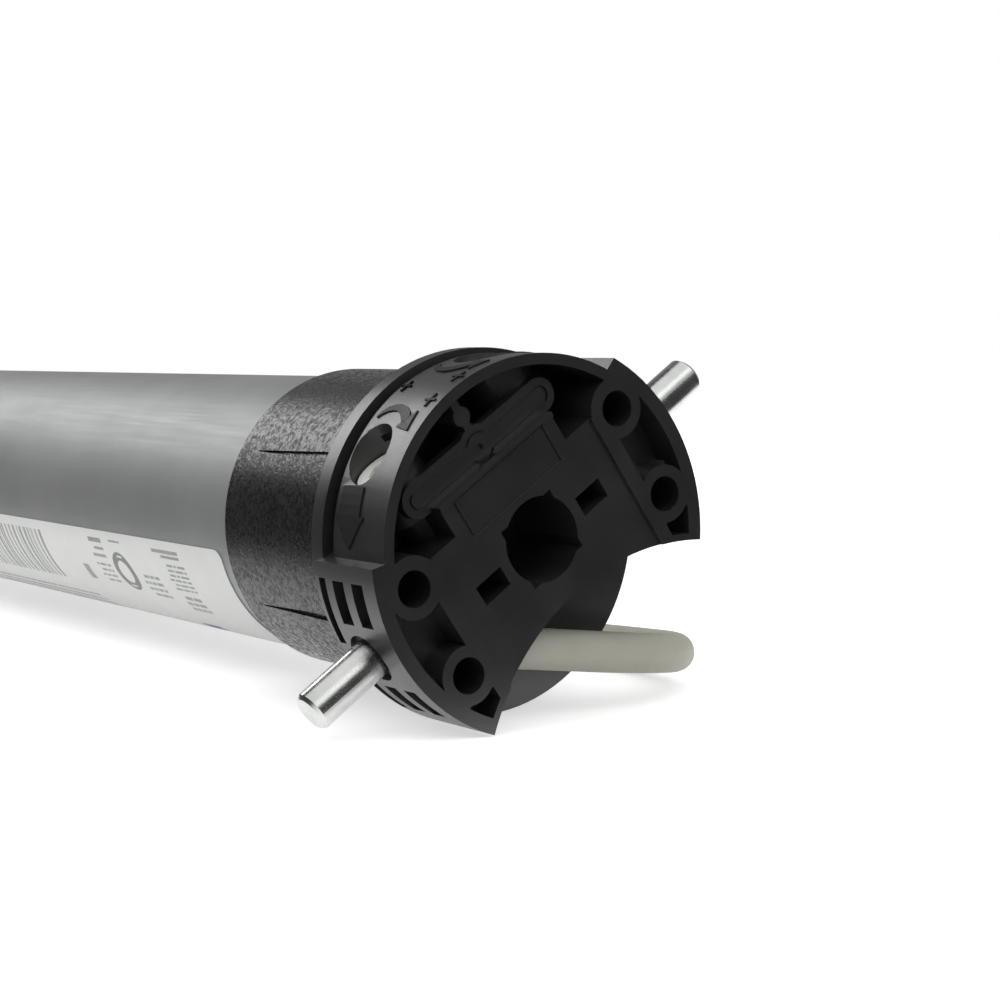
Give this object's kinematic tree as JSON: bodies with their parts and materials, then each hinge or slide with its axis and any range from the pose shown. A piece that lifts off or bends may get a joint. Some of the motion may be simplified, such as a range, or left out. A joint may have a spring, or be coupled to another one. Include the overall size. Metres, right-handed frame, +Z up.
{
  "type": "tubular roller blind motor",
  "caption": "Tubular motor for a roller blind, with a pinned bracket head, a turning limit crown, a brake, a planetary gearbox and a coiled mains lead.",
  "frame": {"origin": "the centre of the bracket face, on the motor axis", "axes": "+X along the motor axis, out of the bracket face; +Z up, with the motor lying as it does on a table"},
  "size_m": [0.4571, 0.1546, 0.0542],
  "materials": {
    "head_black": "fine textured moulding",
    "crown_black": "satin, finely speckled",
    "nylon_black": "moulded nylon",
    "zinc_steel": "bright zinc plate",
    "white_plastic": "moulded acetal",
    "red_plastic": "moulded acetal",
    "blue_plastic": "moulded acetal",
    "switch_black": "moulded",
    "tube_steel": "satin grey",
    "label_white": "printed film",
    "plain_steel": "machined",
    "capacitor_can": "drawn can",
    "black_rubber": "foam rubber",
    "cast_shield": "die cast",
    "bronze": "sintered bronze",
    "copper_wire": "varnished winding",
    "magnet_black": "black",
    "friction_lining": "friction lining",
    "gear_plastic": "glass filled nylon",
    "lead_white": "soft PVC sheath",
    "core_insulation": "PVC cores",
    "tie_black": "nylon tie"
  },
  "bodies": {
    "root": {"head_body": "head_black", "side_pin_left": "zinc_steel", "side_pin_right": "zinc_steel", "cable_gland": "head_black", "neck_clamp_ring": "nylon_black", "limit_frame": "white_plastic", "microswitch_up": "switch_black", "microswitch_down": "switch_black", "terminal_block": "white_plastic", "inner_leads": "core_insulation", "motor_tube": "tube_steel", "rating_label": "label_white", "tube_rivets": "plain_steel", "capacitor": "capacitor_can", "capacitor_sleeve": "black_rubber", "front_shield": "cast_shield", "front_bush": "bronze", "stator_core": "plain_steel", "stator_winding": "copper_wire", "rear_shield": "cast_shield", "rear_bush": "bronze", "brake_magnet": "magnet_black", "brake_spring": "zinc_steel", "brake_plate": "plain_steel", "ring_gear": "cast_shield", "output_bush": "bronze", "output_flange": "nylon_black", "lead_stretch": "lead_white", "lead_coil": "lead_white", "lead_tail": "lead_white", "lead_cores": "core_insulation", "coil_ties": "tie_black"},
    "crown": {"crown_ring": "crown_black"},
    "adjuster_left": {"adjuster_left": "white_plastic"},
    "adjuster_right": {"adjuster_right": "white_plastic"},
    "crown_pinion": {"crown_pinion": "white_plastic"},
    "idler_gear": {"idler_gear": "red_plastic"},
    "limit_wheel_up": {"limit_wheel_up": "blue_plastic"},
    "limit_wheel_down": {"limit_wheel_down": "blue_plastic"},
    "switch_button_up": {"switch_button_up": "switch_black"},
    "switch_button_down": {"switch_button_down": "switch_black"},
    "rotor": {"rotor_core": "plain_steel", "rotor_shaft": "zinc_steel", "brake_disc": "friction_lining"},
    "brake_armature": {"brake_armature": "plain_steel"},
    "carrier_1": {"carrier_1": "plain_steel"},
    "carrier_2": {"carrier_2": "plain_steel"},
    "output": {"output_shaft": "zinc_steel", "output_snap_ring": "zinc_steel"},
    "planet_1a": {"planet_1a": "gear_plastic"},
    "planet_1b": {"planet_1b": "gear_plastic"},
    "planet_1c": {"planet_1c": "gear_plastic"},
    "planet_2a": {"planet_2a": "gear_plastic"},
    "planet_2b": {"planet_2b": "gear_plastic"},
    "planet_2c": {"planet_2c": "gear_plastic"},
    "planet_3a": {"planet_3a": "gear_plastic"},
    "planet_3b": {"planet_3b": "gear_plastic"},
    "planet_3c": {"planet_3c": "gear_plastic"}
  },
  "joints": [
    {"name": "crown_spin", "type": "hinge", "parent": "root", "child": "crown", "pos_m": [0, 0, 0], "axis": [1, 0, 0], "continuous": true},
    {"name": "crown_pinion_spin", "type": "hinge", "parent": "root", "child": "crown_pinion", "pos_m": [0, -0.00373, 0.01391], "axis": [1, 0, 0], "continuous": true},
    {"name": "idler_gear_spin", "type": "hinge", "parent": "root", "child": "idler_gear", "pos_m": [0, -0.00049, 0.00184], "axis": [1, 0, 0], "continuous": true},
    {"name": "limit_wheel_up_spin", "type": "hinge", "parent": "root", "child": "limit_wheel_up", "pos_m": [0, 0.0021, -0.00782], "axis": [1, 0, 0], "continuous": true},
    {"name": "limit_wheel_down_spin", "type": "hinge", "parent": "root", "child": "limit_wheel_down", "pos_m": [0, 0.0021, -0.00782], "axis": [1, 0, 0], "continuous": true},
    {"name": "adjuster_left_turn", "type": "hinge", "parent": "root", "child": "adjuster_left", "pos_m": [-0.0091, -0.02305, 0.01267], "axis": [0, -0.6293, 0.7771], "continuous": true},
    {"name": "adjuster_right_turn", "type": "hinge", "parent": "root", "child": "adjuster_right", "pos_m": [-0.0091, -0.00402, 0.02599], "axis": [0, -0.515, 0.8572], "continuous": true},
    {"name": "switch_button_up_press", "type": "slide", "parent": "root", "child": "switch_button_up", "axis": [0, -0.9659, -0.2588], "range_m": [0, 0.0005], "stiffness_N_per_m": 200, "springref_m": -0.0005},
    {"name": "switch_button_down_press", "type": "slide", "parent": "root", "child": "switch_button_down", "axis": [0, -0.9659, -0.2588], "range_m": [0, 0.0005], "stiffness_N_per_m": 200, "springref_m": -0.0005},
    {"name": "rotor_spin", "type": "hinge", "parent": "root", "child": "rotor", "pos_m": [0, 0, 0], "axis": [1, 0, 0], "continuous": true},
    {"name": "carrier_1_spin", "type": "hinge", "parent": "root", "child": "carrier_1", "pos_m": [0, 0, 0], "axis": [1, 0, 0], "continuous": true},
    {"name": "carrier_2_spin", "type": "hinge", "parent": "root", "child": "carrier_2", "pos_m": [0, 0, 0], "axis": [1, 0, 0], "continuous": true},
    {"name": "output_spin", "type": "hinge", "parent": "root", "child": "output", "pos_m": [0, 0, 0], "axis": [1, 0, 0], "continuous": true},
    {"name": "brake_release", "type": "slide", "parent": "root", "child": "brake_armature", "axis": [1, 0, 0], "range_m": [0, 0.0006], "stiffness_N_per_m": 2000, "springref_m": -0.002, "deforming": ["brake_spring"]},
    {"name": "planet_1a_spin", "type": "hinge", "parent": "carrier_1", "child": "planet_1a", "pos_m": [0, 0.00921, 0.00645], "axis": [1, 0, 0], "continuous": true},
    {"name": "planet_1b_spin", "type": "hinge", "parent": "carrier_1", "child": "planet_1b", "pos_m": [0, -0.0102, 0.00475], "axis": [1, 0, 0], "continuous": true},
    {"name": "planet_1c_spin", "type": "hinge", "parent": "carrier_1", "child": "planet_1c", "pos_m": [0, 0.00098, -0.01121], "axis": [1, 0, 0], "continuous": true},
    {"name": "planet_2a_spin", "type": "hinge", "parent": "carrier_2", "child": "planet_2a", "pos_m": [0, 0.00921, 0.00645], "axis": [1, 0, 0], "continuous": true},
    {"name": "planet_2b_spin", "type": "hinge", "parent": "carrier_2", "child": "planet_2b", "pos_m": [0, -0.0102, 0.00475], "axis": [1, 0, 0], "continuous": true},
    {"name": "planet_2c_spin", "type": "hinge", "parent": "carrier_2", "child": "planet_2c", "pos_m": [0, 0.00098, -0.01121], "axis": [1, 0, 0], "continuous": true},
    {"name": "planet_3a_spin", "type": "hinge", "parent": "output", "child": "planet_3a", "pos_m": [0, 0.00921, 0.00645], "axis": [1, 0, 0], "continuous": true},
    {"name": "planet_3b_spin", "type": "hinge", "parent": "output", "child": "planet_3b", "pos_m": [0, -0.0102, 0.00475], "axis": [1, 0, 0], "continuous": true},
    {"name": "planet_3c_spin", "type": "hinge", "parent": "output", "child": "planet_3c", "pos_m": [0, 0.00098, -0.01121], "axis": [1, 0, 0], "continuous": true}
  ],
  "couplings": [
    {"joint": "crown_pinion_spin", "follows": "crown_spin", "ratio": 3.25},
    {"joint": "idler_gear_spin", "follows": "crown_spin", "ratio": -0.8125},
    {"joint": "limit_wheel_up_spin", "follows": "crown_spin", "ratio": 0.27083},
    {"joint": "limit_wheel_down_spin", "follows": "crown_spin", "ratio": 0.27083},
    {"joint": "carrier_1_spin", "follows": "rotor_spin", "ratio": 0.2},
    {"joint": "carrier_2_spin", "follows": "rotor_spin", "ratio": 0.04},
    {"joint": "output_spin", "follows": "rotor_spin", "ratio": 0.008},
    {"joint": "planet_1a_spin", "follows": "rotor_spin", "ratio": -0.53333},
    {"joint": "planet_1b_spin", "follows": "rotor_spin", "ratio": -0.53333},
    {"joint": "planet_1c_spin", "follows": "rotor_spin", "ratio": -0.53333},
    {"joint": "planet_2a_spin", "follows": "rotor_spin", "ratio": -0.10667},
    {"joint": "planet_2b_spin", "follows": "rotor_spin", "ratio": -0.10667},
    {"joint": "planet_2c_spin", "follows": "rotor_spin", "ratio": -0.10667},
    {"joint": "planet_3a_spin", "follows": "rotor_spin", "ratio": -0.021333},
    {"joint": "planet_3b_spin", "follows": "rotor_spin", "ratio": -0.021333},
    {"joint": "planet_3c_spin", "follows": "rotor_spin", "ratio": -0.021333}
  ]
}
